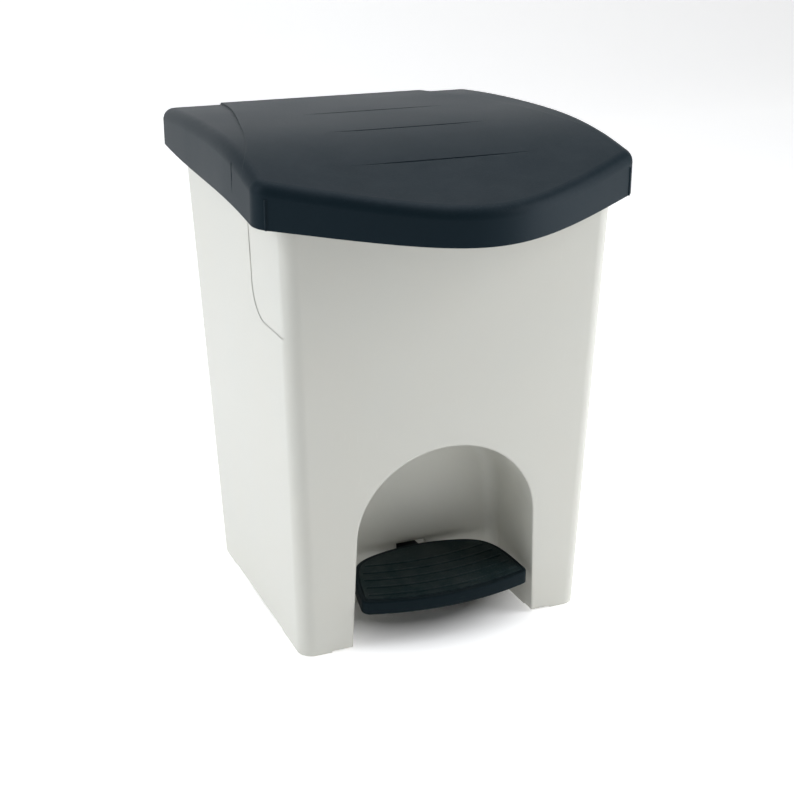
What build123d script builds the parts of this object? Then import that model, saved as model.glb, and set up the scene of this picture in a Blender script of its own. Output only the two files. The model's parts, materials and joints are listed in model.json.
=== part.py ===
from build123d import *
from math import atan2, cos, degrees, hypot, pi, radians, sin, sqrt, tan
import os

os.makedirs("parts", exist_ok=True)

# Frame: millimetres, X right, Y back, Z up, origin under the middle of the lid's outline

# Overall size read from the photo
width = 350.0
depth = 410.0
height = 460.0

# Named clearances
pinGap = 0.25
sideGap = 0.6
movingGap = 1.0
boreGap = 0.1
bucketSideGap = 1.2
bucketFloorGap = 5.0
rodBucketGap = 3.0
alcoveBucketGap = 5.0
rimGap = 0.3
slotGap = 0.5

# Lid outline and edges, seen from above
lidWall = 2.6
lidHalf = width / 2
lidRear = depth / 2
lidNose = -depth / 2
noseBulge = 82.0
lidCornerY = lidNose + noseBulge
noseBlend = 75.0
lidCorner = 18.0
lidRearCorner = 14.0
lidLean = 1.6
lidEdge = 11.0
panelStep = 1.8
panelFrontY = lidCornerY + 24.0
beadRadius = 1.0
ribDeep = 5.0
ribSpread = 45.0

# Lower edge of the lid's skirt
skirtRearZ = height - 41.0
skirtCornerZ = height - 56.0
skirtNoseZ = height - 68.0

# Outer body: overhang of the lid at the gauge height, and the taper below it
gaugeZ = height - 60.0
wall = 2.6
sideOverhang = 21.0
frontOverhang = -4.0
rearOverhang = 17.0
sideTaper = 13.0
frontTaper = 12.0
rearTaper = 32.0
bodyHalfTop = lidHalf - sideOverhang
bodyHalfFloor = bodyHalfTop - sideTaper
frontTop = lidCornerY + frontOverhang
frontFloor = frontTop + frontTaper
rearTop = lidRear - rearOverhang
rearFloor = rearTop - rearTaper
frontCorner = 14.0
rearCorner = 36.0
rimFrontCover = 9.0
rimRearCover = 7.0
rimFrontZ = skirtCornerZ + rimFrontCover
rimRearZ = skirtRearZ + rimRearCover
lipWide = 3.4
lipTall = 6.0
liftedEdge = 1.5
beyond = 250.0
shellTop = height - 28.0

# Relief behind each front corner
reliefDeep = 0.5
reliefLong = 92.0
reliefTall = 100.0
reliefCorner = 30.0

# Foot alcove
archHalfFloor = 92.0
archHalfSpring = 88.0
archSpringZ = 109.5
archApexZ = 188.5
alcoveDeep = 81.0
alcoveBack = frontFloor + alcoveDeep
alcoveCorner = 12.0

# Raised floor that carries the buckets
deckTop = 61.0
deckThick = 3.0
deckRib = 9.0
deckRibX = (70.0, 118.0)
deckRibY = (-10.0, 75.0, 112.0)
keelTall = 24.0

# Hinge between the body and the lid
hingeBehindSkirt = 6.5
hingeAboveSkirt = 6.0
hingeY = lidRear - lidWall - hingeBehindSkirt
hingeZ = skirtRearZ + hingeAboveSkirt
hingeRadius = 5.0
hingePin = 2.1
hingeX = 85.0
knuckleHalf = 8.0
earWide = 6.0
lidOpen = 80.0

# Lift rod and the lug that carries it
lugReach = 16.5
rodRadius = 2.0
lugRadius = 4.0
lugHalf = 3.0
rodX = -9.0
lugStart = -lidOpen / 2
rodTopY = hingeY - lugReach * cos(radians(lugStart))
rodTopZ = hingeZ + lugReach * sin(radians(lugStart))
rodLift = 2 * lugReach * sin(radians(lidOpen / 2))
rodSway = lugReach * (1 - cos(radians(lidOpen / 2)))
rodWallGap = 16.0
guideHeights = (120.0, 290.0)
guidePeg = 9.0
pegRadius = 2.0

# Pedal tread
treadHalf = 84.0
treadFront = frontFloor - 18.0
treadTip = treadFront + 12.0
treadBack = alcoveBack - 11.0
treadSlope = tan(radians(7.5))
treadTopFront = 47.5
treadTall = 12.0
treadWall = 2.6
padInset = 5.0
padSink = 1.2
padRibs = 5
padPitch = 12.0
bowRadius = (treadHalf**2 + (treadTip - treadFront) ** 2) / 2 / (treadTip - treadFront)

# Pedal axle and lever
axleY = 30.0
axleZ = 35.0
axleRadius = 3.0
rodLowY = rearFloor - rodWallGap
leverReach = hypot(rodLowY - axleY, rodLift / 2)
pedalTurn = 2 * degrees(atan2(rodLift / 2, rodLowY - axleY))
rodLowZ = axleZ - rodLift / 2
leverHalf = 13.0
leverEnd = 6.5
leverWeb = 2.5
hubRadius = 8.0
bossGap = 1.2
bossWide = 6.0
clipThick = 1.0
clipX = leverHalf + bossGap + bossWide + 0.5

# Rubber feet and lid buffers
footRadius = 8.0
footStem = 4.0
footShow = 1.0
footWall = 2.5
bufferRadius = 3.4
bufferPad = 2.5
bufferStem = 1.5
bufferY = -60.0


def bodyHalf(z):
    return bodyHalfFloor + sideTaper * z / gaugeZ


def bodyFront(z):
    return frontFloor - frontTaper * z / gaugeZ


def bodyRear(z, inset=0.0):
    return rearFloor + rearTaper * z / gaugeZ - inset


def rimZ(y):
    return rimFrontZ + (rimRearZ - rimFrontZ) * (y - frontTop) / (rearTop - frontTop)


def rodLineY(z):
    return rodLowY + (rodTopY - rodLowY) * (z - rodLowZ) / (rodTopZ - rodLowZ)


bufferX = bodyHalf(rimZ(bufferY)) + lipWide / 2 - wall / 2 + 0.8
bufferZ = rimZ(bufferY + bufferRadius) + rimGap

# How far forward of its resting line the rod comes at one height while it rises and sways
rodSweep = rodSway + rodLift / 2 * (rodTopY - rodLowY) / (rodTopZ - rodLowZ)

# Buckets, sized from the room that the body, the alcove and the rod leave
bucketWall = 2.0
flangeWide = 3.0
bucketDrop = 54.0
bucketFloorZ = deckTop + 0.2
bucketRimZ = rimFrontZ - bucketDrop
middleGap = 1.0
middleTaper = 5.5
bucketInnerTop = middleGap / 2 + flangeWide
bucketInnerLow = bucketInnerTop + middleTaper
bucketOuterTop = bodyHalf(bucketRimZ) - wall - flangeWide - bucketSideGap
bucketOuterLow = bodyHalf(bucketFloorZ) - wall - bucketFloorGap
hookProud = 1.6
bucketFrontTop = bodyFront(bucketRimZ) + wall + flangeWide + hookProud + bucketSideGap
bucketFrontLow = bodyFront(bucketFloorZ) + wall + bucketFloorGap
bucketRearTop = rodLineY(bucketRimZ) - rodSweep - rodRadius - rodBucketGap - flangeWide
bucketRearLow = rodLineY(bucketFloorZ) - rodSweep - rodRadius - rodBucketGap - 1.0
bucketStepZ = archApexZ + wall + alcoveBucketGap + 3.0
bucketStepY = alcoveBack + wall + alcoveBucketGap
bucketCorner = 20.0
stepCorner = 14.0
rimFold = 9.0

# Bucket handles
wireRadius = 2.0
sideClear = 14.0
earAbove = 3.0
earThick = 3.0
gripRadius = 5.5
gripLong = 96.0
bucketMiddle = (bucketInnerTop + bucketOuterTop) / 2
handleReach = bucketOuterTop - bucketMiddle - sideClear
pivotZ = bucketRimZ + earAbove
earFront = bucketFrontTop - flangeWide
earRear = bucketRearTop + flangeWide

# Feet stand inside the corners of the walls
frontFoot = footRadius + footWall + 2.0
rearFootTurn = sqrt(0.5) * (rearCorner - wall - footRadius - footWall + 1.0)
rearFootX = bodyHalfFloor - rearCorner + rearFootTurn
rearFootY = rearFloor - rearCorner + rearFootTurn
footPlaces = [
    (-bodyHalfFloor + frontFoot, frontFloor + frontFoot),
    (bodyHalfFloor - frontFoot, frontFloor + frontFoot),
    (-rearFootX, rearFootY),
    (rearFootX, rearFootY),
]
footNames = ["foot_front_left", "foot_front_right", "foot_rear_left", "foot_rear_right"]

# Top of the lid: distance forward from its rear edge, and drop below the overall height
crownRows = [
    (-30, 10.1),
    (0, 7.4),
    (44, 4.0),
    (97, 1.2),
    (161, 0.0),
    (205, 0.8),
    (257, 5.0),
    (297, 11.8),
    (335, 20.5),
    (375, 29.5),
    (410, 37.0),
    (440, 43.5),
]
lidCrown = [(lidRear - back, height - drop) for back, drop in reversed(crownRows)]

# Edge of the raised panel: margin from the lid's side, and distance forward from its rear
flareRows = [(70, -10), (66, 30), (54, 100), (38, 173), (20, 248), (-12, 318)]

# Shallow lines across the panel: distance forward from the lid's rear
lineBacks = (147, 230, 313)
lineLong = 145.0
lineDeep = 0.5
lineWide = 2.4


def save(shape, node):
    export_step(shape, "parts/" + node + ".step")
    print(node, round(shape.volume))


def bodySection(z, inset):
    # outline of the outer body at height z, moved inwards by inset
    half = bodyHalf(z) - inset
    radii = (frontCorner - inset, rearCorner - inset)
    return roundedPlan(-half, half, bodyFront(z) + inset, bodyRear(z, inset), *radii, z)


def roundedPlan(left, right, front, rear, frontR, rearR, z):
    # rectangle with one radius at the front corners and another at the rear ones
    k = sqrt(0.5)
    edges = [
        Line((left + frontR, front), (right - frontR, front)),
        ThreePointArc(
            (right - frontR, front),
            (right - frontR + k * frontR, front + frontR - k * frontR),
            (right, front + frontR),
        ),
        Line((right, front + frontR), (right, rear - rearR)),
        ThreePointArc(
            (right, rear - rearR),
            (right - rearR + k * rearR, rear - rearR + k * rearR),
            (right - rearR, rear),
        ),
        Line((right - rearR, rear), (left + rearR, rear)),
        ThreePointArc(
            (left + rearR, rear),
            (left + rearR - k * rearR, rear - rearR + k * rearR),
            (left, rear - rearR),
        ),
        Line((left, rear - rearR), (left, front + frontR)),
        ThreePointArc(
            (left, front + frontR),
            (left + frontR - k * frontR, front + frontR - k * frontR),
            (left + frontR, front),
        ),
    ]
    return Pos(0, 0, z) * make_face(Wire(edges))


def bodyBlock(inset, low, high):
    return loft([bodySection(low, inset), bodySection(high, inset)], ruled=True)


def sideProfile(points, halfWide):
    # closed outline in Y and Z, stretched both ways along X
    face = Plane.YZ.offset(-halfWide) * make_face(Polyline(*points, close=True))
    return extrude(face, 2 * halfWide)


def box(x0, x1, y0, y1, z0, z1):
    return Pos((x0 + x1) / 2, (y0 + y1) / 2, (z0 + z1) / 2) * Box(x1 - x0, y1 - y0, z1 - z0)


def rodAlongX(x0, x1, y, z, radius):
    return Pos((x0 + x1) / 2, y, z) * Rot(0, 90, 0) * Cylinder(radius, x1 - x0)


def archPrism(grow, back, corner):
    # arched niche: leaning straight sides with a smooth crown, run backwards from ahead of the front wall
    floorX = archHalfFloor + grow
    springX = archHalfSpring + grow
    lean = (archHalfFloor - archHalfSpring, archSpringZ)
    rise = archApexZ + grow - archSpringZ
    run = hypot(*lean)
    pull = 0.5523
    handle = (lean[0] / run * pull * rise, lean[1] / run * pull * rise)
    apex = (0, archApexZ + grow)
    crown = [
        Bezier(
            (-springX, archSpringZ),
            (-springX + handle[0], archSpringZ + handle[1]),
            (-pull * springX, apex[1]),
            apex,
        ),
        Bezier(
            apex,
            (pull * springX, apex[1]),
            (springX - handle[0], archSpringZ + handle[1]),
            (springX, archSpringZ),
        ),
    ]
    below = -20.0
    spread = lean[0] * -below / archSpringZ
    outline = Wire(
        [
            Line((-floorX - spread, below), (-springX, archSpringZ)),
            *crown,
            Line((springX, archSpringZ), (floorX + spread, below)),
            Line((floorX + spread, below), (-floorX - spread, below)),
        ]
    )
    start = frontTop - 30
    entry = Plane(origin=(0, start, 0), x_dir=(-1, 0, 0), z_dir=(0, 1, 0))
    prism = extrude(entry * make_face(outline), back - start)
    backEdges = [e for e in prism.edges() if e.center().Y > back - 0.01 and e.center().Z > below + 1]
    return fillet(backEdges, corner)


def outerBody():
    block = bodyBlock(0, 0, shellTop)
    shell = block - bodyBlock(wall, -2, shellTop + 2)
    band = bodyBlock(-lipWide, gaugeZ - 20, shellTop) - bodyBlock(wall / 2, gaugeZ - 21, shellTop + 1)
    lipEnds = (frontTop - 30, rearTop - rearCorner - 6)
    lipLow = [(y, rimZ(y) - lipTall) for y in lipEnds]
    lipHigh = [(y, rimZ(y) + 4) for y in reversed(lipEnds)]
    shell += band & sideProfile(lipLow + lipHigh, lidHalf)

    # foot alcove, its walls first and then the opening
    shell += archPrism(wall, alcoveBack + wall, alcoveCorner + wall) & block
    inside = bodyBlock(wall / 2, 0, gaugeZ)
    shell += inside & box(-beyond, beyond, -beyond, beyond, deckTop - deckThick, deckTop)
    ribLow = deckTop - deckThick - deckRib
    for side in (-1, 1):
        for x in deckRibX:
            middle = side * x
            shell += inside & box(middle - 1, middle + 1, frontFloor + 7, rearFloor - 9, ribLow, deckTop - 1)
        low, high = sorted((side * (deckRibX[0] - 44), side * (bodyHalfFloor + 4)))
        for y in deckRibY:
            shell += inside & box(low, high, y - 1, y + 1, ribLow, deckTop - 1)
    shell += box(-2, 2, alcoveBack + 12, rodLowY - 33, deckTop - 1, deckTop + keelTall)

    # bosses for the pedal axle hang under the deck on both sides of the lever
    for side in (-1, 1):
        middle = side * (leverHalf + bossGap + bossWide / 2)
        plate = sideProfile(
            [
                (axleY - 20, deckTop - 1),
                (axleY + 20, deckTop - 1),
                (axleY + hubRadius, axleZ),
                (axleY - hubRadius, axleZ),
            ],
            bossWide / 2,
        )
        shell += Pos(middle, 0, 0) * plate
        shell += rodAlongX(middle - bossWide / 2, middle + bossWide / 2, axleY, axleZ, hubRadius)
    for x, y in footPlaces:
        shell += Pos(x, y, footShow + 7) * Cylinder(footRadius + footWall, 14)

    shell -= archPrism(0, alcoveBack, alcoveCorner)
    rimLine = [(-beyond, rimZ(-beyond)), (beyond, rimZ(beyond))]
    shell -= sideProfile(rimLine + [(beyond, height), (-beyond, height)], beyond)
    shell -= rodAlongX(-40, 40, axleY, axleZ, axleRadius + boreGap)
    slotHalf = leverHalf + 2.0
    slotTop = deckTop - deckThick - 1.5
    shell -= box(-slotHalf, slotHalf, alcoveBack - 1, alcoveBack + wall + 1, 6, slotTop)
    shell -= box(rodX - 6, rodX + 7, rodLowY - 9, rodLowY + 10, deckTop - 6, deckTop + 1)
    for x, y in footPlaces:
        shell -= Pos(x, y, 2.6) * Cylinder(footRadius + boreGap, 5.2)
        shell -= Pos(x, y, 6.3) * Cylinder(footStem + boreGap, 12.6)

    # the lower edge stands clear of the floor between the corner feet
    lifted = footShow + liftedEdge
    cornerKeep = frontFoot + footRadius + 8.5
    shell -= box(-beyond, beyond, -beyond, beyond, -1, footShow)
    for side in (-1, 1):
        low, high = sorted((side * (archHalfFloor - 4), side * (bodyHalfFloor - cornerKeep)))
        shell -= box(low, high, frontFloor - 19, frontFloor + 16, 0, lifted)
        low, high = sorted((side * (bodyHalfFloor - 12), side * beyond))
        shell -= box(low, high, frontFloor + 56, rearFloor - 65, 0, lifted)
    rearLift = rearFootX - 40
    shell -= box(-rearLift, rearLift, rearFloor - 17, rearFloor + 13, 0, lifted)

    # a shallow relief behind each front corner, under the lid
    reliefFront = frontTop + frontCorner - 2
    reliefBack = frontTop + reliefLong
    reliefLow = gaugeZ - reliefTall + 6
    skin = block - bodyBlock(reliefDeep, -1, shellTop + 1)
    lowRow = [(reliefFront, reliefLow), (reliefBack, reliefLow)]
    outline = sideProfile(lowRow + [(reliefBack, height), (reliefFront, height)], beyond)
    low = [e for e in outline.edges() if e.center().Z < reliefLow + 1 and abs(e.center().Y - reliefBack) < 0.1]
    shell -= skin & fillet(low, reliefCorner)

    # hinge ears, with the rim cut away where the lid's knuckles and lug turn
    for side in (-1, 1):
        shell -= box(
            side * hingeX - knuckleHalf - sideGap,
            side * hingeX + knuckleHalf + sideGap,
            rearTop - 12,
            hingeY + 10,
            hingeZ - hingeRadius - 5,
            hingeZ + 20,
        )
        for step in (-1, 1):
            x = side * hingeX + step * (knuckleHalf + sideGap + earWide / 2)
            ear = rodAlongX(x - earWide / 2, x + earWide / 2, hingeY, hingeZ, hingeRadius)
            web = box(
                x - earWide / 2,
                x + earWide / 2,
                bodyRear(hingeZ, wall),
                hingeY,
                hingeZ - hingeRadius,
                hingeZ + hingeRadius * 0.6,
            )
            shell += ear + web
        shell -= rodAlongX(
            side * hingeX - 20, side * hingeX + 20, hingeY, hingeZ, hingePin + boreGap
        )
    shell -= box(rodX - 4, lugHalf + 5, rearTop - 12, hingeY + 10, hingeZ - 16, hingeZ + 20)
    for z in guideHeights:
        for step in (-1, 1):
            shell -= guidePlane(z) * Pos(step * guidePeg, 0, 0) * Cylinder(pegRadius + boreGap, 12)
    return shell


def guidePlane(z):
    # lies on the inside of the rear wall, local Z pointing into the bin
    lean = rearTaper / gaugeZ
    return Plane(origin=(rodX, bodyRear(z, wall), z), x_dir=(1, 0, 0), z_dir=(0, -1, lean))


def rodGuide(z):
    reach = bodyRear(z, wall) - rodLineY(z)
    front = reach + rodSweep + rodRadius + 3.4
    plate = Pos(0, 0, 1.0) * Box(26, 12, 2)
    eye = Pos(0, 0, front / 2) * Box(2 * rodRadius + 6.4, 10, front)
    slotLow = reach - rodRadius - movingGap
    slotHigh = front - 2.2
    slot = Pos(0, 0, (slotLow + slotHigh) / 2) * Box(2 * rodRadius + 1.2, 12, slotHigh - slotLow)
    guide = plate + eye - slot
    for step in (-1, 1):
        guide += Pos(step * guidePeg, 0, -1.2) * Cylinder(pegRadius, 2.6)
    return guidePlane(z) * guide


def foot(x, y):
    profile = Polyline(
        (0, 0),
        (footRadius - 1, 0),
        (footRadius, 1),
        (footRadius, 5),
        (footStem, 5),
        (footStem, 11),
        (footStem - 0.8, 12),
        (0, 12),
        close=True,
    )
    return Pos(x, y, 0) * revolve(Plane.XZ * make_face(profile), Axis.Z)


# Lid outline: straight rear and sides, a bowed nose y = corner - bulge * (1 - (sqrt(x^2 + c^2) - c) / span)
noseSpan = sqrt(lidHalf**2 + noseBlend**2) - noseBlend


def bowY(x):
    return lidCornerY - noseBulge * (1 - (sqrt(x**2 + noseBlend**2) - noseBlend) / noseSpan)


def bowSlope(x):
    return noseBulge * x / sqrt(x**2 + noseBlend**2) / noseSpan


def cornerJoin():
    # where the corner arc meets the bow, found by repeating a few times
    x = lidHalf - lidCorner / 2
    for _ in range(8):
        x = lidHalf - lidCorner + lidCorner * sin(atan2(bowSlope(x), 1))
    return x


joinX = cornerJoin()
joinTurn = degrees(atan2(bowSlope(joinX), 1))


def lidPlan(inset, z):
    # outline of the lid moved inwards by inset; its sides lean inwards towards the rear
    rear = lidRear - inset
    corner = lidCorner - inset
    back = lidRearCorner - inset
    lean = radians(lidLean)
    centreX = lidHalf - lidCorner
    centreY = bowY(joinX) + lidCorner * cos(radians(joinTurn))
    rearY = rear - back
    rearX = centreX + (corner - back - (rearY - centreY) * sin(lean)) / cos(lean)
    points = []
    for i in range(15):
        x = -joinX + 2 * joinX * i / 14
        slope = bowSlope(x)
        size = sqrt(1 + slope**2)
        points.append((x - inset * slope / size, bowY(x) + inset / size))
    slope = bowSlope(joinX)
    size = sqrt(1 + slope**2)
    bow = Spline(*points, tangents=[(1 / size, -slope / size), (1 / size, slope / size)])

    def turn(sign, x, y, radius, first, last):
        # arc about one corner's centre between two angles
        places = []
        for angle in (first, (first + last) / 2, last):
            places.append((sign * (x + radius * cos(angle)), y + radius * sin(angle)))
        return ThreePointArc(*places)

    start = radians(joinTurn) - pi / 2
    edges = [bow, Line((-rearX, rear), (rearX, rear))]
    for sign in (1, -1):
        edges.append(turn(sign, centreX, centreY, corner, start, lean))
        edges.append(turn(sign, rearX, rearY, back, lean, pi / 2))
        sideLow = (sign * (centreX + corner * cos(lean)), centreY + corner * sin(lean))
        sideHigh = (sign * (rearX + back * cos(lean)), rearY + back * sin(lean))
        edges.append(Line(sideLow, sideHigh))
    return Pos(0, 0, z) * make_face(Wire(edges))


def fade(y):
    t = min(1, max(0, (y - panelFrontY) / 200))
    return t * t * (3 - 2 * t)


def crownLine(drop):
    return [(y, z - drop - 0.15 - panelStep * fade(y)) for y, z in lidCrown]


def crownHeight(y):
    # height of the lid's top at one place along it, found by halving
    line = Spline(*lidCrown)
    low = 0.0
    high = 1.0
    for _ in range(30):
        middle = (low + high) / 2
        if (line @ middle).X < y:
            low = middle
        else:
            high = middle
    return (line @ low).Y


def lidBlock(inset, line, edge):
    top = Spline(*line)
    foot = skirtNoseZ - 54
    sides = Polyline(line[-1], (line[-1][0], foot), (line[0][0], foot), line[0])
    under = extrude(Plane.YZ.offset(-beyond) * make_face(Wire([top, *sides.edges()])), 2 * beyond)
    block = extrude(lidPlan(inset, foot + 5), 160) & under
    upper = [e for e in block.edges() if e.center().Z > skirtCornerZ + 2]
    return fillet(upper, edge)


def lid():
    outside = lidBlock(0, crownLine(0), lidEdge)
    flare = [(lidHalf - margin, lidRear - back) for margin, back in flareRows]
    corner = (flare[-1][0], lidNose - 20)
    right = Spline(*flare)
    left = Spline(*[(-x, y) for x, y in flare])
    ends = [Line((-flare[0][0], flare[0][1]), flare[0]), Line((-corner[0], corner[1]), corner)]
    ends += [Line(flare[-1], corner), Line((-flare[-1][0], flare[-1][1]), (-corner[0], corner[1]))]
    panel = extrude(Pos(0, 0, skirtNoseZ + 8) * make_face(Wire([right, left, *ends])), 90)
    outside += lidBlock(0, lidCrown, lidEdge) & panel
    shell = outside - lidBlock(lidWall, crownLine(lidWall), lidEdge - lidWall)

    # each line across the panel is the lens that a very large wheel would cut, so it fades at its ends
    wheel = (lineLong / 2) ** 2 / 2 / lineDeep
    for back in lineBacks:
        y = lidRear - back
        axle = crownHeight(y) - lineDeep + wheel
        shell -= Pos(0, y, axle) * Rot(90, 0, 0) * Cylinder(wheel, lineWide)
    beadLow = skirtNoseZ - 14
    beadTop = height - 32
    for side in (-1, 1):
        middle = (beadLow + beadTop) / 2
        shell += Pos(side * joinX, bowY(joinX), middle) * Cylinder(beadRadius, beadTop - beadLow)
    rise = (skirtRearZ - skirtCornerZ) / (lidRear - lidCornerY)
    middleY = (lidRear + lidCornerY) / 2 + 20
    lowEnds = [(lidNose - 2, skirtNoseZ - 0.4), (lidRear + 15, skirtRearZ + 15 * rise)]
    edgeLine = Spline(
        lowEnds[1],
        (middleY, skirtCornerZ + rise * (middleY - lidCornerY)),
        (lidCornerY, skirtCornerZ),
        (lidNose + 30, skirtNoseZ + (skirtCornerZ - skirtNoseZ) * 30 / noseBulge),
        lowEnds[0],
    )
    base = skirtNoseZ - 64
    floorLine = Polyline(lowEnds[0], (lowEnds[0][0], base), (lowEnds[1][0], base), lowEnds[1])
    shell -= extrude(Plane.YZ.offset(-beyond) * make_face(Wire([edgeLine, *floorLine.edges()])), 2 * beyond)

    # stiffening ribs follow the underside
    row = [(y, z) for y, z in crownLine(0) if lidNose + 15 < y < lidRear - 15]
    upper = [(y, z - 1.4) for y, z in row]
    lower = [(y, z - lidWall - ribDeep) for y, z in reversed(row)]
    for x in (-ribSpread, 0, ribSpread):
        shell += Pos(x, 0, 0) * sideProfile(upper + lower, 1.0)

    # knuckles on the hinge line, hung from the roof on two webs each
    roof = height - 10.0
    for side in (-1, 1):
        middle = side * hingeX
        shell += rodAlongX(middle - knuckleHalf, middle + knuckleHalf, hingeY, hingeZ, hingeRadius)
        web = sideProfile(
            [
                (hingeY - hingeRadius + 0.6, hingeZ),
                (hingeY + hingeRadius - 0.6, hingeZ),
                (hingeY + hingeRadius - 0.6, roof),
                (hingeY - 28, roof),
            ],
            1.5,
        )
        for step in (-1, 1):
            shell += Pos(middle + step * (knuckleHalf - 1.5), 0, 0) * web
        shell -= rodAlongX(middle - 20, middle + 20, hingeY, hingeZ, hingePin + pinGap)

    # lug for the lift rod
    shell += sideProfile(
        [
            (rodTopY - lugRadius + 0.2, rodTopZ),
            (rodTopY + lugRadius - 0.2, rodTopZ),
            (rodTopY + 1, roof),
            (rodTopY - 26, roof),
        ],
        lugHalf,
    )
    shell += rodAlongX(-lugHalf, lugHalf, rodTopY, rodTopZ, lugRadius)
    shell -= rodAlongX(-20, 20, rodTopY, rodTopZ, rodRadius + pinGap)

    # posts above the body's rim carry the buffers
    postTop = height - 8.0
    for side in (-1, 1):
        tall = postTop - bufferZ - bufferPad - 0.1
        shell += Pos(side * bufferX, bufferY, postTop - tall / 2) * Cylinder(bufferRadius + 0.4, tall)
        tie = lidHalf - lidWall / 2 - bufferX
        shell += Pos(side * (bufferX + tie / 2), bufferY, bufferZ + 18) * Box(tie, 2.0, 30)
        shell -= Pos(side * bufferX, bufferY, bufferZ + 5) * Cylinder(bufferStem + boreGap, 10)
    return shell


def lidBuffer(side):
    pad = Pos(side * bufferX, bufferY, bufferZ + bufferPad / 2) * Cylinder(bufferRadius, bufferPad)
    return pad + Pos(side * bufferX, bufferY, bufferZ + 5) * Cylinder(bufferStem, 5.4)


def hingePinPiece(side):
    outer = hingeX + knuckleHalf + sideGap + earWide
    inner = hingeX - knuckleHalf - sideGap - earWide
    pin = rodAlongX(inner - 1.0, outer + 0.4, hingeY, hingeZ, hingePin)
    head = rodAlongX(outer + 0.2, outer + 1.8, hingeY, hingeZ, 3.4)
    piece = pin + head
    return piece if side > 0 else mirror(piece, Plane.YZ)


# Pedal: a bowed tread with a hollow underside, and a ribbed lever that reaches the lift rod
def treadTop(y):
    return treadTopFront + (y - treadFront) * treadSlope


def treadPlan(inset):
    # bowed front on a large circle, rounded rear through four points a side, all moved inwards by inset
    centreY = treadFront + bowRadius
    half = treadHalf - inset
    tip = centreY - sqrt((bowRadius - inset) ** 2 - half**2)
    shape = [
        (treadHalf, treadTip),
        (treadHalf - 3.5, treadTip + 25),
        (treadHalf - 18, treadBack - 16),
        (treadHalf - 48, treadBack - 3.8),
        (0, treadBack),
    ]
    right = [(half, tip)]
    for i in (1, 2, 3):
        across = shape[i + 1][0] - shape[i - 1][0]
        along = shape[i + 1][1] - shape[i - 1][1]
        size = hypot(across, along)
        right.append((shape[i][0] - inset * along / size, shape[i][1] + inset * across / size))
    right.append((0, treadBack - inset))
    front = ThreePointArc((-half, tip), (0, treadFront + inset), (half, tip))
    rear = Spline(*right, *[(-x, y) for x, y in reversed(right[:-1])])
    return fillet(make_face(Wire([front, rear])).vertices(), max(2, 7 - inset))


def treadSlab(inset, low, high):
    # piece of the tread outline between two levels measured from the sloping top
    y0 = treadFront - 19
    y1 = treadBack + 15
    column = extrude(Pos(0, 0, 20) * treadPlan(inset), 70)
    points = [(y0, treadTop(y0) + low), (y1, treadTop(y1) + low)]
    points += [(y1, treadTop(y1) + high), (y0, treadTop(y0) + high)]
    return column & sideProfile(points, treadHalf + 36)


def leverSide(trim):
    # side outline of the lever from under the tread back to the lift rod, moved inwards by trim
    start = treadFront + 19
    neck = alcoveBack + 4
    under = treadBack - 3
    rear = rodLowY + 1 - trim
    points = [
        (start + trim, treadTop(start + trim) - 2.7 - trim),
        (under, treadTop(under) - 2.7 - trim),
        (neck, axleZ + 12 - trim),
        (axleY, axleZ + hubRadius - trim),
        (rear, rodLowZ + leverEnd - trim),
        (rear, rodLowZ - leverEnd + trim),
        (axleY, axleZ - hubRadius + trim),
        (neck, axleZ - 5 + trim),
        (neck - 32, axleZ + 1.5 + trim),
        (start + trim, treadTop(start) - treadTall + 0.8 + trim),
    ]
    return points


def hookShift(turn):
    # where the rod's lower hook lies in the lever's own frame after the lid has turned, against its start
    lidAngle = radians(lugStart + turn)
    acrossY = rodTopY - (hingeY - lugReach * cos(lidAngle))
    y = rodLowY - axleY - acrossY
    z = rodLowZ - axleZ + hingeZ + lugReach * sin(lidAngle) - rodTopZ
    back = radians(pedalTurn * turn / lidOpen)
    turnedY = y * cos(back) + z * sin(back)
    turnedZ = z * cos(back) - y * sin(back)
    return turnedY - (rodLowY - axleY), turnedZ - (rodLowZ - axleZ)


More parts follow.
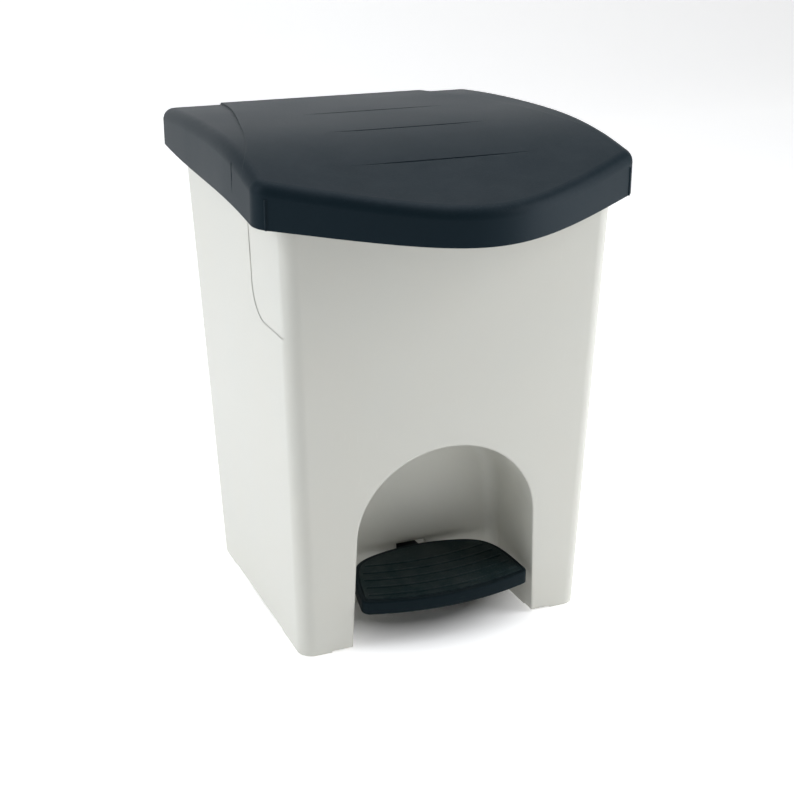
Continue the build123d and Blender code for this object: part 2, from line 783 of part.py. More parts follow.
def pedal():
    tread = treadSlab(0, -treadTall, 0)
    upper = [e for e in tread.edges() if abs(e.center().Z - treadTop(e.center().Y)) < 0.6 and e.length > 20]
    tread = fillet(upper, 1.6)
    tread -= treadSlab(treadWall, -treadTall - 5, -3.6)
    for x in (-56, -28, 28, 56):
        tread += treadSlab(1.5, -treadTall + 2, -3) & box(x - 1, x + 1, treadFront - 19, 0, 20, 80)
    arm = sideProfile(leverSide(0), leverHalf)
    pocket = (leverHalf - leverWeb) / 2
    for step in (-1, 1):
        core = sideProfile(leverSide(2.8), pocket)
        arm -= Pos(step * (leverWeb / 2 + pocket + 0.2), 0, 0) * core
    for y in (axleY - 50, axleY + 40, axleY + 75):
        arm += sideProfile(leverSide(0), leverHalf) & box(-leverHalf, leverHalf, y - 1.2, y + 1.2, 0, 80)
    arm += rodAlongX(-leverHalf, leverHalf, axleY, axleZ, hubRadius)
    for step in (-1, 1):
        x = step * (lugHalf + 20)
        arm -= box(x - 20, x + 20, rodLowY - 14, rodLowY + 20, 0, 80)
    arm += sideProfile(leverSide(0), lugHalf) & box(-lugHalf, lugHalf, rodLowY - 16, rodLowY + 2, 0, 80)
    arm += rodAlongX(-lugHalf, lugHalf, rodLowY + 1, rodLowZ, leverEnd)
    arm -= rodAlongX(-40, 40, axleY, axleZ, axleRadius + pinGap)

    # slot for the rod's hook, as large as the hook's shifts in the lever need
    shifts = [hookShift(lidOpen * i / 16) for i in range(17)]
    room = rodRadius + slotGap
    slotFront = rodLowY + min(y for y, z in shifts) - room
    slotBack = rodLowY + max(y for y, z in shifts) + room
    slotLow = rodLowZ + min(z for y, z in shifts) - room
    slotHigh = rodLowZ + max(z for y, z in shifts) + room
    slot = box(-20, 20, slotFront, slotBack, slotLow, slotHigh)
    arm -= fillet(slot.edges().filter_by(Axis.X), rodRadius)
    whole = tread + (arm - treadSlab(-2, -2.6, 30))
    return whole - treadSlab(padInset - 0.2, -padSink - 0.1, 5)


def pedalPad():
    pad = treadSlab(padInset, -padSink, 0.5)
    for i in range(padRibs):
        y = treadFront + bowRadius + padInset + 6.0 + padPitch * i
        ring = Cylinder(bowRadius + 0.9, 60) - Cylinder(bowRadius - 0.9, 60)
        pad += treadSlab(padInset + 3.5, 0.3, 1.4) & Pos(0, y, treadTopFront + 9) * ring
    return pad


def pedalAxle():
    end = leverHalf + bossGap + bossWide + 3.2
    axle = rodAlongX(-end, end, axleY, axleZ, axleRadius)
    for side in (-1, 1):
        x = side * (clipX + clipThick / 2)
        groove = rodAlongX(x - clipThick / 2 - 0.1, x + clipThick / 2 + 0.1, axleY, axleZ, axleRadius + 1)
        axle -= groove - rodAlongX(-40, 40, axleY, axleZ, axleRadius - 0.6)
    return chamfer([e for e in axle.edges() if abs(abs(e.center().X) - end) < 0.01], 0.5)


def axleClip(side):
    x = side * (clipX + clipThick / 2)
    disc = rodAlongX(x - clipThick / 2, x + clipThick / 2, axleY, axleZ, axleRadius + 2.8)
    disc -= rodAlongX(-40, 40, axleY, axleZ, axleRadius - 0.5)
    disc -= box(x - 2, x + 2, axleY - 1.8, axleY + 1.8, axleZ - 10, axleZ)
    return disc


def wire(points, bends, radius):
    # round wire along straight runs, with one bend radius for each inner corner
    corners = [Vector(*p) for p in points]
    edges = []
    start = corners[0]
    for i, bend in enumerate(bends):
        here = corners[i + 1]
        into = (here - corners[i]).normalized()
        out = (corners[i + 2] - here).normalized()
        half = into.get_angle(out) / 2
        inward = (out - into).normalized()
        setback = bend * tan(radians(half))
        first = here - into * setback
        last = here + out * setback
        middle = here + inward * (bend / cos(radians(half)) - bend)
        edges += [Line(start, first), ThreePointArc(first, middle, last)]
        start = last
    edges.append(Line(start, corners[-1]))
    path = Wire(edges)
    section = Plane(origin=corners[0], z_dir=corners[1] - corners[0]) * Circle(radius)
    return sweep(section, path=path)


def liftRod():
    end = lugHalf + 3.4
    return wire(
        [
            (end, rodLowY, rodLowZ),
            (rodX, rodLowY, rodLowZ),
            (rodX, rodTopY, rodTopZ),
            (end, rodTopY, rodTopZ),
        ],
        [4.0, 4.0],
        rodRadius,
    )


def rodClip(y, z):
    cap = rodAlongX(lugHalf + 0.6, lugHalf + 1.8, y, z, 3.5)
    cap += rodAlongX(lugHalf + 1.8, lugHalf + 3.0, y, z, 2.9)
    return cap - rodAlongX(-20, 20, y, z, rodRadius + 0.02)


def between(low, high, z):
    return low + (high - low) * (z - bucketFloorZ) / (bucketRimZ - bucketFloorZ)


def bucketBlock(inset, low, high):
    faces = []
    radius = bucketCorner - inset
    for z in (low, high):
        left = between(bucketInnerLow, bucketInnerTop, z) + inset
        right = between(bucketOuterLow, bucketOuterTop, z) - inset
        front = between(bucketFrontLow, bucketFrontTop, z) + inset
        rear = between(bucketRearLow, bucketRearTop, z) - inset
        faces.append(roundedPlan(left, right, front, rear, radius, radius, z))
    return loft(faces, ruled=True)


def bucketStep(grow):
    back = bucketStepY + grow
    top = bucketStepZ + grow
    block = box(-20, beyond, -beyond, back, deckTop - 40, top)
    edge = [e for e in block.edges() if abs(e.center().Y - back) < 0.1 and abs(e.center().Z - top) < 0.1]
    return fillet(edge, stepCorner + grow)


def bucketRight():
    outside = bucketBlock(0, bucketFloorZ, bucketRimZ) - bucketStep(0)
    inside = bucketBlock(bucketWall, bucketFloorZ + bucketWall, bucketRimZ + 5) - bucketStep(bucketWall)
    rim = bucketBlock(-flangeWide, bucketRimZ - 2, bucketRimZ)
    fold = bucketBlock(-flangeWide, bucketRimZ - rimFold, bucketRimZ - 1)
    rim += fold - bucketBlock(-flangeWide + 1.6, bucketRimZ - rimFold - 1, bucketRimZ)
    shell = outside + rim
    for y in (earFront + earThick / 2, earRear - earThick / 2):
        ear = Pos(bucketMiddle, y, pivotZ) * Rot(90, 0, 0) * Cylinder(5.0, earThick)
        near = y - earThick / 2
        shell += ear + box(bucketMiddle - 7, bucketMiddle + 7, near, near + earThick, bucketRimZ - 2, pivotZ)
    shell -= inside
    shell -= Pos(bucketMiddle, 0, pivotZ) * Rot(90, 0, 0) * Cylinder(wireRadius + 0.3, 400)
    return shell


def handleRight():
    legFront = earFront + earThick + 0.6 + wireRadius
    legRear = earRear - earThick - 0.6 - wireRadius
    far = bucketMiddle + handleReach
    return wire(
        [
            (bucketMiddle, earFront - hookProud, pivotZ),
            (bucketMiddle, legFront, pivotZ),
            (far, legFront, pivotZ),
            (far, legRear, pivotZ),
            (bucketMiddle, legRear, pivotZ),
            (bucketMiddle, earRear + hookProud, pivotZ),
        ],
        [2.4, 9.0, 9.0, 2.4],
        wireRadius,
    )


def gripRight():
    half = gripLong / 2
    hole = wireRadius + 0.05
    middle = (earFront + earRear) / 2
    start = [(hole, -half), (gripRadius - 1.4, -half), (gripRadius - 0.3, -half + 3)]
    crest = []
    for i in range(33):
        radius = gripRadius - 0.5 + 0.5 * cos(radians(45 * i))
        crest.append((radius, (half - 6) * (i / 16 - 1)))
    ends = [(gripRadius - 0.3, half - 3), (gripRadius - 1.4, half), (hole, half)]
    lowLine = Polyline(*start, crest[0])
    highLine = Polyline(crest[-1], *ends, start[0])
    outline = Wire([*lowLine.edges(), Spline(*crest), *highLine.edges()])
    grip = revolve(Plane.XY * make_face(outline), Axis.Y)
    return Pos(bucketMiddle + handleReach, middle, pivotZ) * grip


def both(shape, stem):
    save(shape, stem + "_right")
    save(mirror(shape, Plane.YZ), stem + "_left")


save(outerBody(), "outer_body")
save(lid(), "lid")
for side, name in ((-1, "left"), (1, "right")):
    save(hingePinPiece(side), "hinge_pin_" + name)
    save(lidBuffer(side), "lid_buffer_" + name)
    save(axleClip(side), "axle_clip_" + name)
save(pedal(), "pedal")
save(pedalPad(), "pedal_pad")
save(pedalAxle(), "pedal_axle")
save(liftRod(), "lift_rod")
save(rodClip(rodTopY, rodTopZ), "rod_top_clip")
save(rodClip(rodLowY, rodLowZ), "rod_bottom_clip")
save(rodGuide(guideHeights[0]), "rod_guide_lower")
save(rodGuide(guideHeights[1]), "rod_guide_upper")
both(bucketRight(), "bucket")
both(handleRight(), "bucket_handle")
both(gripRight(), "handle_grip")
for (x, y), name in zip(footPlaces, footNames):
    save(foot(x, y), name)
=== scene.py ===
import bpy
import json
import numpy as np
from math import cos, radians, sin
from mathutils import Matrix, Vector


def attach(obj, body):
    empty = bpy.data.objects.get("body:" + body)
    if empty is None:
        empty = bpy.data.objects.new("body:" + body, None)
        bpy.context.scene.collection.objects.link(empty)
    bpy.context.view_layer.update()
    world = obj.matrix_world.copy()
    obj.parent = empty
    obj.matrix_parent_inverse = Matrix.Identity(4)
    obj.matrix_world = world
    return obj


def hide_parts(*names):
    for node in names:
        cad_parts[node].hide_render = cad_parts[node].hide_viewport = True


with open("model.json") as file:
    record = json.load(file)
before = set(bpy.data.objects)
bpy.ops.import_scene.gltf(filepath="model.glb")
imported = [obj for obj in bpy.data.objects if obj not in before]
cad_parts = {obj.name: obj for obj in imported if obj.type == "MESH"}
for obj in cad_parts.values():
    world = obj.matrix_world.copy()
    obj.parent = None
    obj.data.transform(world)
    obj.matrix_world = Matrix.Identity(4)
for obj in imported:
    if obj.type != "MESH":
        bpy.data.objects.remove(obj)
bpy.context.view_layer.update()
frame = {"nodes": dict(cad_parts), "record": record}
nodes = frame["nodes"]
scene = bpy.context.scene
mm = 0.001
print("stage: frame loaded,", len(nodes), "nodes")


# helpers for shader trees

def addNode(tree, kind, x=0, y=0, **settings):
    node = tree.nodes.new(kind)
    node.location = (x, y)
    for name, value in settings.items():
        setattr(node, name, value)
    return node


def newGroup(name, inputs, outputs):
    # a node group whose sockets have names, kinds and starting values
    group = bpy.data.node_groups.new(name, "ShaderNodeTree")
    for label, kind, value in inputs:
        socket = group.interface.new_socket(label, in_out="INPUT", socket_type="NodeSocket" + kind)
        if value is not None:
            socket.default_value = value
    for label, kind in outputs:
        group.interface.new_socket(label, in_out="OUTPUT", socket_type="NodeSocket" + kind)
    start = addNode(group, "NodeGroupInput", -1000, 0)
    end = addNode(group, "NodeGroupOutput", 800, 0)
    return group, start, end


def placeGroup(tree, group, x, y, values):
    node = addNode(tree, "ShaderNodeGroup", x, y, node_tree=group)
    for label, value in values.items():
        node.inputs[label].default_value = value
    return node


def feed(tree, socket, value):
    # a number goes on the socket itself, anything else is linked to it
    if isinstance(value, (int, float, tuple)):
        socket.default_value = value
    else:
        tree.links.new(value, socket)


def combine(tree, operation, a, b, x, y, clamp=False):
    node = addNode(tree, "ShaderNodeMath", x, y, operation=operation, use_clamp=clamp)
    feed(tree, node.inputs[0], a)
    feed(tree, node.inputs[1], b)
    return node.outputs[0]


def remap(tree, value, low, high, outLow, outHigh, x, y):
    node = addNode(tree, "ShaderNodeMapRange", x, y, clamp=True)
    feed(tree, node.inputs["Value"], value)
    feed(tree, node.inputs["From Min"], low)
    feed(tree, node.inputs["From Max"], high)
    feed(tree, node.inputs["To Min"], outLow)
    feed(tree, node.inputs["To Max"], outHigh)
    return node.outputs["Result"]


def blendColour(tree, factor, a, b, x, y, kind="MIX"):
    node = addNode(tree, "ShaderNodeMix", x, y, data_type="RGBA", blend_type=kind)
    feed(tree, node.inputs[0], factor)
    feed(tree, node.inputs[6], a)
    feed(tree, node.inputs[7], b)
    return node.outputs[2]


def noise(tree, vector, scale, detail, x, y, roughness=0.5):
    node = addNode(tree, "ShaderNodeTexNoise", x, y)
    tree.links.new(vector, node.inputs["Vector"])
    feed(tree, node.inputs["Scale"], scale)
    node.inputs["Detail"].default_value = detail
    node.inputs["Roughness"].default_value = roughness
    return node.outputs["Fac"]


# shared effects, each built once

def buildMouldGrain():
    # spark-eroded mould texture: fine noise cut by small round pits, as a height from 0 to 1
    inputs = [("Vector", "Vector", None), ("Scale", "Float", 2200.0), ("Pits", "Float", 0.4)]
    group, start, end = newGroup("mouldGrain", inputs, [("Height", "Float")])
    fine = noise(group, start.outputs["Vector"], start.outputs["Scale"], 3.0, -700, 200, 0.6)
    pitScale = combine(group, "MULTIPLY", start.outputs["Scale"], 0.45, -860, -150)
    pits = addNode(group, "ShaderNodeTexVoronoi", -700, -150, feature="SMOOTH_F1")
    group.links.new(start.outputs["Vector"], pits.inputs["Vector"])
    group.links.new(pitScale, pits.inputs["Scale"])
    round_ = remap(group, pits.outputs["Distance"], 0.05, 0.6, 0.0, 1.0, -450, -150)
    cut = combine(group, "MULTIPLY", round_, start.outputs["Pits"], -250, -150)
    height = combine(group, "ADD", fine, cut, 0, 0)
    group.links.new(height, end.inputs["Height"])
    return group


def buildToneDrift():
    # slow cloudy change of a colour, and of the sheen with it
    inputs = [("Vector", "Vector", None), ("Colour", "Color", (0.5, 0.5, 0.5, 1)), ("Amount", "Float", 0.06)]
    inputs += [("Scale", "Float", 9.0), ("Warmth", "Float", 0.02)]
    group, start, end = newGroup("toneDrift", inputs, [("Colour", "Color"), ("Mask", "Float")])
    cloud = noise(group, start.outputs["Vector"], start.outputs["Scale"], 4.0, -700, 150)
    warmScale = combine(group, "MULTIPLY", start.outputs["Scale"], 2.7, -860, -150)
    warmCloud = noise(group, start.outputs["Vector"], warmScale, 2.0, -700, -150)
    swing = combine(group, "SUBTRACT", cloud, 0.5, -450, 150)
    swing = combine(group, "MULTIPLY", swing, start.outputs["Amount"], -280, 150)
    gain = combine(group, "ADD", swing, 1.0, -120, 150)
    warm = combine(group, "SUBTRACT", warmCloud, 0.5, -450, -150)
    warm = combine(group, "MULTIPLY", warm, start.outputs["Warmth"], -280, -150)
    tint = addNode(group, "ShaderNodeCombineColor", 100, 0)
    group.links.new(combine(group, "ADD", gain, warm, 0, 120), tint.inputs[0])
    group.links.new(gain, tint.inputs[1])
    group.links.new(combine(group, "SUBTRACT", gain, warm, 0, -120), tint.inputs[2])
    colour = blendColour(group, 1.0, start.outputs["Colour"], tint.outputs[0], 350, 0, "MULTIPLY")
    group.links.new(colour, end.inputs["Colour"])
    group.links.new(cloud, end.inputs["Mask"])
    return group


def buildEdgeRub():
    # edges where hands and shoes polish the surface: rounded normals against true ones, broken by noise
    inputs = [("Vector", "Vector", None), ("Width", "Float", 0.0012), ("Amount", "Float", 0.5)]
    inputs += [("Scale", "Float", 90.0)]
    group, start, end = newGroup("edgeRub", inputs, [("Mask", "Float"), ("Normal", "Vector")])
    soft = addNode(group, "ShaderNodeBevel", -700, 150, samples=4)
    group.links.new(start.outputs["Width"], soft.inputs["Radius"])
    true = addNode(group, "ShaderNodeNewGeometry", -700, -50)
    dot = addNode(group, "ShaderNodeVectorMath", -450, 100, operation="DOT_PRODUCT")
    group.links.new(soft.outputs["Normal"], dot.inputs[0])
    group.links.new(true.outputs["Normal"], dot.inputs[1])
    edge = remap(group, dot.outputs["Value"], 0.995, 0.86, 0.0, 1.0, -250, 100)
    patch = noise(group, start.outputs["Vector"], start.outputs["Scale"], 5.0, -450, -200, 0.65)
    patch = remap(group, patch, 0.38, 0.62, 0.0, 1.0, -250, -200)
    mask = combine(group, "MULTIPLY", edge, patch, 0, 0)
    mask = combine(group, "MULTIPLY", mask, start.outputs["Amount"], 200, 0, True)
    group.links.new(mask, end.inputs["Mask"])
    group.links.new(soft.outputs["Normal"], end.inputs["Normal"])
    return group


def buildDust():
    # fine dust that settles where the surface looks up, thicker in clouds
    inputs = [("Vector", "Vector", None), ("Amount", "Float", 0.2), ("Scale", "Float", 35.0)]
    group, start, end = newGroup("restingDust", inputs, [("Mask", "Float")])
    geometry = addNode(group, "ShaderNodeNewGeometry", -800, 100)
    split = addNode(group, "ShaderNodeSeparateXYZ", -620, 100)
    group.links.new(geometry.outputs["Normal"], split.inputs[0])
    up = remap(group, split.outputs["Z"], 0.25, 0.95, 0.0, 1.0, -430, 100)
    cloud = noise(group, start.outputs["Vector"], start.outputs["Scale"], 6.0, -620, -150, 0.7)
    cloud = remap(group, cloud, 0.4, 0.75, 0.0, 1.0, -430, -150)
    speckScale = combine(group, "MULTIPLY", start.outputs["Scale"], 30.0, -800, -350)
    specks = noise(group, start.outputs["Vector"], speckScale, 1.0, -620, -350)
    specks = remap(group, specks, 0.62, 0.7, 0.0, 1.0, -430, -350)
    both = combine(group, "MAXIMUM", cloud, specks, -200, -200)
    mask = combine(group, "MULTIPLY", up, both, 0, 0)
    mask = combine(group, "MULTIPLY", mask, start.outputs["Amount"], 200, 0, True)
    group.links.new(mask, end.inputs["Mask"])
    return group


def buildScuffs():
    # hairline scratches: noise drawn out along one direction and cut thin
    inputs = [("Vector", "Vector", None), ("Amount", "Float", 0.3), ("Scale", "Float", 60.0)]
    inputs += [("Stretch", "Vector", (1.0, 14.0, 14.0))]
    group, start, end = newGroup("hairScuffs", inputs, [("Mask", "Float")])
    drawn = addNode(group, "ShaderNodeVectorMath", -750, 0, operation="MULTIPLY")
    group.links.new(start.outputs["Vector"], drawn.inputs[0])
    group.links.new(start.outputs["Stretch"], drawn.inputs[1])
    lines = noise(group, drawn.outputs[0], start.outputs["Scale"], 2.0, -550, 0)
    lines = remap(group, lines, 0.66, 0.72, 0.0, 1.0, -350, 0)
    where = noise(group, start.outputs["Vector"], 18.0, 2.0, -550, -250)
    where = remap(group, where, 0.5, 0.65, 0.0, 1.0, -350, -250)
    mask = combine(group, "MULTIPLY", lines, where, -100, 0)
    mask = combine(group, "MULTIPLY", mask, start.outputs["Amount"], 100, 0, True)
    group.links.new(mask, end.inputs["Mask"])
    return group


mouldGrain = buildMouldGrain()
toneDrift = buildToneDrift()
edgeRub = buildEdgeRub()
restingDust = buildDust()
hairScuffs = buildScuffs()
print("stage: shared effects built")


def startMaterial(name):
    material = bpy.data.materials.new(name)
    material.use_nodes = True
    tree = material.node_tree
    tree.nodes.clear()
    output = addNode(tree, "ShaderNodeOutputMaterial", 1500, 0)
    shader = addNode(tree, "ShaderNodeBsdfPrincipled", 1200, 0)
    tree.links.new(shader.outputs[0], output.inputs["Surface"])
    place = addNode(tree, "ShaderNodeTexCoord", -1200, 0)
    return material, tree, shader, place.outputs["Object"]


def makeMoulded(name, look):
    # moulded plastic or rubber: tone drift, polished edges, dust, scuffs, mould grain and slow ripples
    material, tree, shader, place = startMaterial(name)
    drift = placeGroup(tree, toneDrift, -900, 500, {"Colour": (*look["colour"], 1), "Amount": look["drift"],
                                                    "Scale": look["driftScale"], "Warmth": look["warmth"]})
    rub = placeGroup(tree, edgeRub, -900, 200, {"Width": look["edge"], "Amount": look["rub"], "Scale": 110.0})
    dust = placeGroup(tree, restingDust, -900, -50, {"Amount": look["dust"], "Scale": 28.0})
    scuff = placeGroup(tree, hairScuffs, -900, -300, {"Amount": look["scuffs"], "Scale": look["scuffScale"],
                                                      "Stretch": look["scuffRun"]})
    grain = placeGroup(tree, mouldGrain, -900, -550, {"Scale": look["grainScale"], "Pits": look["pits"]})
    for group in (drift, rub, dust, scuff, grain):
        tree.links.new(place, group.inputs["Vector"])
    rubbed = tuple(min(1.0, c * look["rubGain"] + look["rubLift"]) for c in look["colour"])
    colour = blendColour(tree, rub.outputs["Mask"], drift.outputs["Colour"], (*rubbed, 1), -400, 400)
    colour = blendColour(tree, dust.outputs["Mask"], colour, (*look["dustColour"], 1), -200, 300)
    scuffed = tuple(min(1.0, c * look["scuffGain"] + look["scuffLift"]) for c in look["colour"])
    colour = blendColour(tree, scuff.outputs["Mask"], colour, (*scuffed, 1), 0, 200)
    tree.links.new(colour, shader.inputs["Base Color"])
    smooth = look["rough"] - look["roughSwing"]
    coarse = look["rough"] + look["roughSwing"]
    rough = remap(tree, drift.outputs["Mask"], 0.3, 0.7, smooth, coarse, -400, 50)
    grit = combine(tree, "MULTIPLY", grain.outputs["Height"], look["grainRough"], -400, -120)
    rough = combine(tree, "ADD", rough, grit, -200, 0)
    dull = combine(tree, "MULTIPLY", dust.outputs["Mask"], look["dustDulls"], -200, -150)
    rough = combine(tree, "ADD", rough, dull, 0, -50)
    polish = combine(tree, "MULTIPLY", rub.outputs["Mask"], look["polish"], 0, -200)
    rough = combine(tree, "SUBTRACT", rough, polish, 200, -100, True)
    tree.links.new(rough, shader.inputs["Roughness"])
    slow = noise(tree, place, look["rippleScale"], 2.0, -900, -800)
    ripple = addNode(tree, "ShaderNodeBump", 500, -500)
    ripple.inputs["Strength"].default_value = 1.0
    ripple.inputs["Distance"].default_value = look["ripple"]
    tree.links.new(slow, ripple.inputs["Height"])
    tree.links.new(rub.outputs["Normal"], ripple.inputs["Normal"])
    bump = addNode(tree, "ShaderNodeBump", 800, -400)
    bump.inputs["Strength"].default_value = look["grainStrength"]
    bump.inputs["Distance"].default_value = look["grainDepth"]
    tree.links.new(grain.outputs["Height"], bump.inputs["Height"])
    tree.links.new(ripple.outputs["Normal"], bump.inputs["Normal"])
    tree.links.new(bump.outputs["Normal"], shader.inputs["Normal"])
    shader.inputs["IOR"].default_value = look["ior"]
    shader.inputs["Specular IOR Level"].default_value = look["specular"]
    shader.inputs["Specular Tint"].default_value = (*look["tint"], 1)
    shader.inputs["Subsurface Weight"].default_value = look["scatter"]
    shader.inputs["Subsurface Radius"].default_value = look["scatterRadius"]
    shader.inputs["Subsurface Scale"].default_value = look["scatterDepth"]
    return material


# what every moulding starts from: lengths in metres, colours linear, all else from 0 to 1 or a noise scale
plainMoulding = {
    "colour": (0.5, 0.5, 0.5), "drift": 0.05, "driftScale": 8.0, "warmth": 0.02, "edge": 0.0008, "rub": 0.5,
    "rubGain": 1.1, "rubLift": 0.01, "dust": 0.08, "dustColour": (0.55, 0.53, 0.5), "dustDulls": 0.35,
    "scuffs": 0.15, "scuffScale": 60.0, "scuffRun": (1.0, 14.0, 14.0), "scuffGain": 1.25, "scuffLift": 0.03,
    "grainScale": 2200.0, "pits": 0.4, "rough": 0.4, "roughSwing": 0.03, "grainRough": 0.04, "polish": 0.12,
    "rippleScale": 14.0, "ripple": 0.00025, "grainStrength": 0.25, "grainDepth": 0.00008, "ior": 1.5,
    "specular": 0.5, "tint": (1.0, 1.0, 1.0), "scatter": 0.0, "scatterRadius": (1.0, 0.9, 0.8),
    "scatterDepth": 0.0015,
}

bodyLook = dict(plainMoulding, colour=(0.665, 0.662, 0.607), drift=0.04, driftScale=5.0, edge=0.003, rub=0.35,
                rubGain=1.06, rubLift=0.02, dust=0.05, scuffs=0.10, scuffRun=(12.0, 12.0, 1.0), rough=0.36,
                grainScale=1900.0, scatter=0.08, rippleScale=9.0, ripple=0.0004)
lidLook = dict(plainMoulding, colour=(0.0075, 0.0165, 0.0225), specular=0.11, tint=(0.75, 0.85, 1.0),
               drift=0.12, driftScale=7.0, warmth=0.05, edge=0.001, rub=0.5, rubGain=1.8, rubLift=0.02,
               dust=0.035, dustColour=(0.30, 0.31, 0.33), scuffs=0.12, rough=0.42, grainScale=1500.0,
               grainStrength=0.4, grainDepth=0.00012, ripple=0.0003, scuffRun=(14.0, 1.5, 14.0))
pedalLook = dict(plainMoulding, colour=(0.006, 0.012, 0.015), specular=0.05, tint=(0.8, 0.9, 1.0),
                 drift=0.15, warmth=0.05, rub=0.8, rubGain=2.2, rubLift=0.02, dust=0.06,
                 dustColour=(0.18, 0.18, 0.18), scuffs=0.35, scuffScale=90.0, rough=0.40,
                 grainScale=1600.0, grainStrength=0.35)
padLook = dict(plainMoulding, colour=(0.004, 0.015, 0.017), specular=0.15, drift=0.2, edge=0.0006,
               rub=0.9, rubGain=2.6, rubLift=0.025, dust=0.16, dustColour=(0.16, 0.155, 0.15), scuffs=0.6,
               scuffScale=110.0, rough=0.52, grainScale=1100.0, pits=0.8, grainStrength=0.55,
               grainDepth=0.00018, polish=0.2)
bucketLook = dict(plainMoulding, colour=(0.115, 0.12, 0.125), drift=0.08, rough=0.46, dust=0.06, scuffs=0.35,
                  scuffRun=(12.0, 12.0, 1.0), grainScale=1300.0, grainStrength=0.4, rippleScale=11.0)
gripLook = dict(plainMoulding, colour=(0.016, 0.018, 0.020), rough=0.38, rub=0.7, rubGain=2.0, rubLift=0.02,
                edge=0.0005, grainScale=2400.0)
guideLook = dict(plainMoulding, colour=(0.045, 0.047, 0.05), rough=0.33, edge=0.0004, grainStrength=0.15)
rubberLook = dict(plainMoulding, colour=(0.012, 0.012, 0.012), rough=0.62, rub=0.6, rubGain=3.0, rubLift=0.02,
                  edge=0.0004, dust=0.2, grainScale=900.0, grainStrength=0.5, pits=0.7)

steelLook = {"colour": (0.62, 0.62, 0.63), "dull": (0.30, 0.30, 0.31), "rough": 0.30, "grainScale": 420.0,
             "drawn": (40.0, 40.0, 2.0), "spots": 55.0}


def makeSteel(name, look):
    # zinc-plated wire: drawn lines along it, cloudy plating and a few dull spots
    material, tree, shader, place = startMaterial(name)
    drawn = addNode(tree, "ShaderNodeVectorMath", -900, 100, operation="MULTIPLY")
    drawn.inputs[1].default_value = look["drawn"]
    tree.links.new(place, drawn.inputs[0])
    lines = noise(tree, drawn.outputs[0], look["grainScale"], 3.0, -700, 100)
    cloud = noise(tree, place, look["spots"], 5.0, -700, -150, 0.7)
    spots = remap(tree, cloud, 0.52, 0.72, 0.0, 1.0, -500, -150)
    colour = blendColour(tree, spots, (*look["colour"], 1), (*look["dull"], 1), -250, 200)
    tree.links.new(colour, shader.inputs["Base Color"])
    streak = remap(tree, lines, 0.3, 0.7, look["rough"] - 0.08, look["rough"] + 0.08, -500, 100)
    dull = combine(tree, "MULTIPLY", spots, 0.25, -250, -150)
    tree.links.new(combine(tree, "ADD", streak, dull, 0, 0, True), shader.inputs["Roughness"])
    shader.inputs["Metallic"].default_value = 1.0
    bump = addNode(tree, "ShaderNodeBump", 600, -300)
    bump.inputs["Strength"].default_value = 0.25
    bump.inputs["Distance"].default_value = 0.00005
    tree.links.new(lines, bump.inputs["Height"])
    tree.links.new(bump.outputs["Normal"], shader.inputs["Normal"])
    return material


finishes = {
    "body_plastic": makeMoulded("bodyPlastic", bodyLook),
    "lid_plastic": makeMoulded("lidPlastic", lidLook),
    "pedal_plastic": makeMoulded("pedalPlastic", pedalLook),
    "pedal_rubber": makeMoulded("pedalTread", padLook),
    "bucket_plastic": makeMoulded("bucketPlastic", bucketLook),
    "grip_plastic": makeMoulded("gripPlastic", gripLook),
    "guide_plastic": makeMoulded("guidePlastic", guideLook),
    "foot_rubber": makeMoulded("footRubber", rubberLook),
    "steel": makeSteel("platedSteel", steelLook),
}


def finishNodes():
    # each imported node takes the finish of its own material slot
    for row in frame["record"]["subparts"]:
        piece = nodes[row["node"]]
        piece.data.materials.clear()
        piece.data.materials.append(finishes[row["material_slot"]])


finishNodes()
print("stage: finishes on every node")

# the tie of each lid buffer post ends a little proud of the lid's side, most at its top corner
tieCorner = {"x": 173.7 * mm, "y": -60.0 * mm, "z": 449.2 * mm, "halfWide": 1.2 * mm, "slack": 0.05 * mm,
             "below": 1.0 * mm, "lowX": 173.55 * mm, "topX": 172.78 * mm, "topZ": 446.42 * mm}


def addLidShell():
    # copy of the lid: those corners, found by place, are drawn back onto its side, the top ones in z as well
    tie = tieCorner
    mesh = nodes["lid"].data.copy()
    mesh.name = "lidShell"
    points = np.empty(len(mesh.vertices) * 3)
    mesh.vertices.foreach_get("co", points)
    points = points.reshape(-1, 3)
    near = np.abs(np.abs(points[:, 0]) - tie["x"]) < tie["slack"]
    near &= np.abs(points[:, 1] - tie["y"]) < tie["halfWide"]
    top = near & (points[:, 2] > tie["z"] - tie["below"])
    points[near, 0] = np.sign(points[near, 0]) * np.where(top[near], tie["topX"], tie["lowX"])
    points[top, 2] = tie["topZ"]
    mesh.vertices.foreach_set("co", points.ravel())
    mesh.update()
    shell = bpy.data.objects.new("lidShell", mesh)
    scene.collection.objects.link(shell)
    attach(shell, "lid")
    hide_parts("lid")
    print("stage: lid shell,", int(near.sum()), "corner points moved")


addLidShell()

# camera, floor and light

# camera fitted to the photograph: "focal" and "frame" in pixels, angles in degrees, the rest in metres
view = {"focal": 1470.11, "frame": 798, "azimuth": -22.71, "elevation": 20.46, "distance": 1414.8 * mm,
        "aim": (0.0, 0.0, 192.31 * mm)}


def fromAngles(azimuth, elevation, distance, aim):
    # azimuth 0 looks along +Y from the front, elevation is above the floor
    a = radians(azimuth)
    e = radians(elevation)
    step = Vector((sin(a) * cos(e), -cos(a) * cos(e), sin(e)))
    return Vector(aim) + step * distance


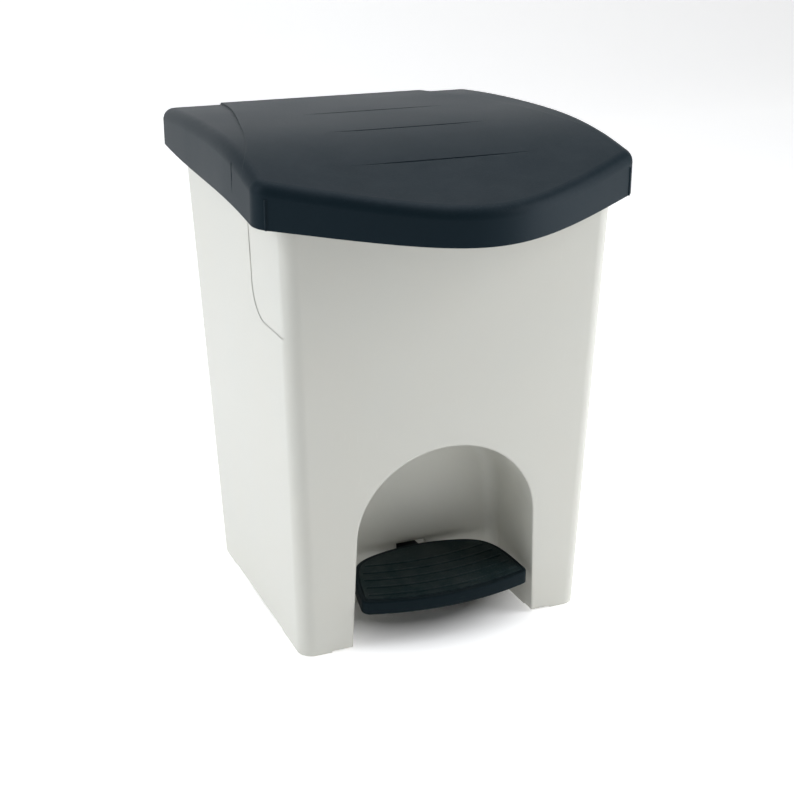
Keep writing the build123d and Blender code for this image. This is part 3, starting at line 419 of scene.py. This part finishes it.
def addCamera():
    data = bpy.data.cameras.new("camera")
    camera = bpy.data.objects.new("camera", data)
    scene.collection.objects.link(camera)
    data.sensor_width = 36.0
    data.sensor_fit = "AUTO"
    data.lens = data.sensor_width * view["focal"] / view["frame"]
    data.clip_start = 0.05
    camera.location = fromAngles(view["azimuth"], view["elevation"], view["distance"], view["aim"])
    look = Vector(view["aim"]) - camera.location
    camera.rotation_euler = look.to_track_quat("-Z", "Y").to_euler()
    scene.camera = camera


# the backdrop in metres; "glow" is the floor's own painted light, from none at the middle to full over
# "paintedShadeReach", which leaves a painted shadow under the bin
stageSizes = {"half": 3.0, "back": 2.2, "bend": 1.2, "tall": 2.8, "stretch": 1.6, "steps": 24,
              "colour": (0.90, 0.90, 0.90), "shade": 0.985, "rough": 0.75, "specular": 0.1,
              "glow": 0.55, "paintedShadeReach": (0.09, 0.15)}


def addFloor():
    # floor that curves up into a backdrop: points run along a profile, the same at every x
    sizes = stageSizes
    angle = np.linspace(0, np.pi / 2, sizes["steps"])
    bendY = sizes["back"] + sizes["bend"] * np.sin(angle)
    bendZ = sizes["bend"] * (1 - np.cos(angle))
    y = np.concatenate(([-sizes["half"]], bendY, [sizes["back"] + sizes["bend"]]))
    z = np.concatenate(([0.0], bendZ, [sizes["tall"]]))
    x = np.array([-sizes["half"], sizes["half"]]) * sizes["stretch"]
    grid = np.stack(np.broadcast_arrays(x[None, :], y[:, None], z[:, None]), axis=-1).reshape(-1, 3)
    i = np.arange(len(y) - 1) * 2
    faces = np.stack((i, i + 1, i + 3, i + 2), axis=-1)
    mesh = bpy.data.meshes.new("floor")
    mesh.from_pydata(grid.tolist(), [], faces.tolist())
    mesh.polygons.foreach_set("use_smooth", np.ones(len(faces), bool))
    floor = bpy.data.objects.new("floor", mesh)
    scene.collection.objects.link(floor)
    material, tree, shader, place = startMaterial("paleFloor")
    shade = noise(tree, place, 3.0, 3.0, -700, 0)
    low = tuple(c * sizes["shade"] for c in sizes["colour"])
    colour = blendColour(tree, shade, (*low, 1), (*sizes["colour"], 1), -300, 0)
    tree.links.new(colour, shader.inputs["Base Color"])
    shader.inputs["Roughness"].default_value = sizes["rough"]
    shader.inputs["Specular IOR Level"].default_value = sizes["specular"]
    # the floor gives off painted light, so shadows on it stay soft, but none under the middle of the bin,
    # where the missing glow paints a contact shadow
    level = addNode(tree, "ShaderNodeVectorMath", -900, -300, operation="LENGTH")
    tree.links.new(place, level.inputs[0])
    glow = remap(tree, level.outputs["Value"], *sizes["paintedShadeReach"], 0.0, 1.0, -700, -300)
    tree.links.new(glow, shader.inputs["Emission Color"])
    shader.inputs["Emission Strength"].default_value = sizes["glow"]
    mesh.materials.append(material)


# soft boxes round the bin, all turned to lampAim; the world fills in what they leave
lampAim = Vector((0, 0, 0.22))
roomLight = 0.08
lamps = [
    {"name": "leftBox", "azimuth": -94, "elevation": 28, "distance": 2.1, "size": (1.2, 1.9), "power": 19.5,
     "tint": (0.92, 0.955, 1.0)},
    {"name": "rightBox", "azimuth": 64, "elevation": 20, "distance": 1.35, "size": (0.7, 1.2), "power": 12.0,
     "tint": (0.97, 0.98, 1.0)},
    {"name": "topBox", "azimuth": 150, "elevation": 80, "distance": 2.2, "size": (2.4, 2.4), "power": 34.0,
     "tint": (0.92, 0.955, 1.0)},
]


def addLamps():
    for lamp in lamps:
        data = bpy.data.lights.new(lamp["name"], "AREA")
        data.shape = "RECTANGLE"
        data.size, data.size_y = lamp["size"]
        data.energy = lamp["power"]
        data.color = lamp["tint"]
        light = bpy.data.objects.new(lamp["name"], data)
        scene.collection.objects.link(light)
        light.location = fromAngles(lamp["azimuth"], lamp["elevation"], lamp["distance"], lampAim)
        light.rotation_euler = (lampAim - light.location).to_track_quat("-Z", "Y").to_euler()
    world = bpy.data.worlds.new("softRoom")
    scene.world = world
    world.use_nodes = True
    back = world.node_tree.nodes["Background"]
    back.inputs["Color"].default_value = (1.0, 1.0, 1.0, 1)
    back.inputs["Strength"].default_value = roomLight


scene.view_settings.view_transform = "Standard"
scene.view_settings.look = "None"
addCamera()
addFloor()
addLamps()
print("stage: camera, floor and light set")
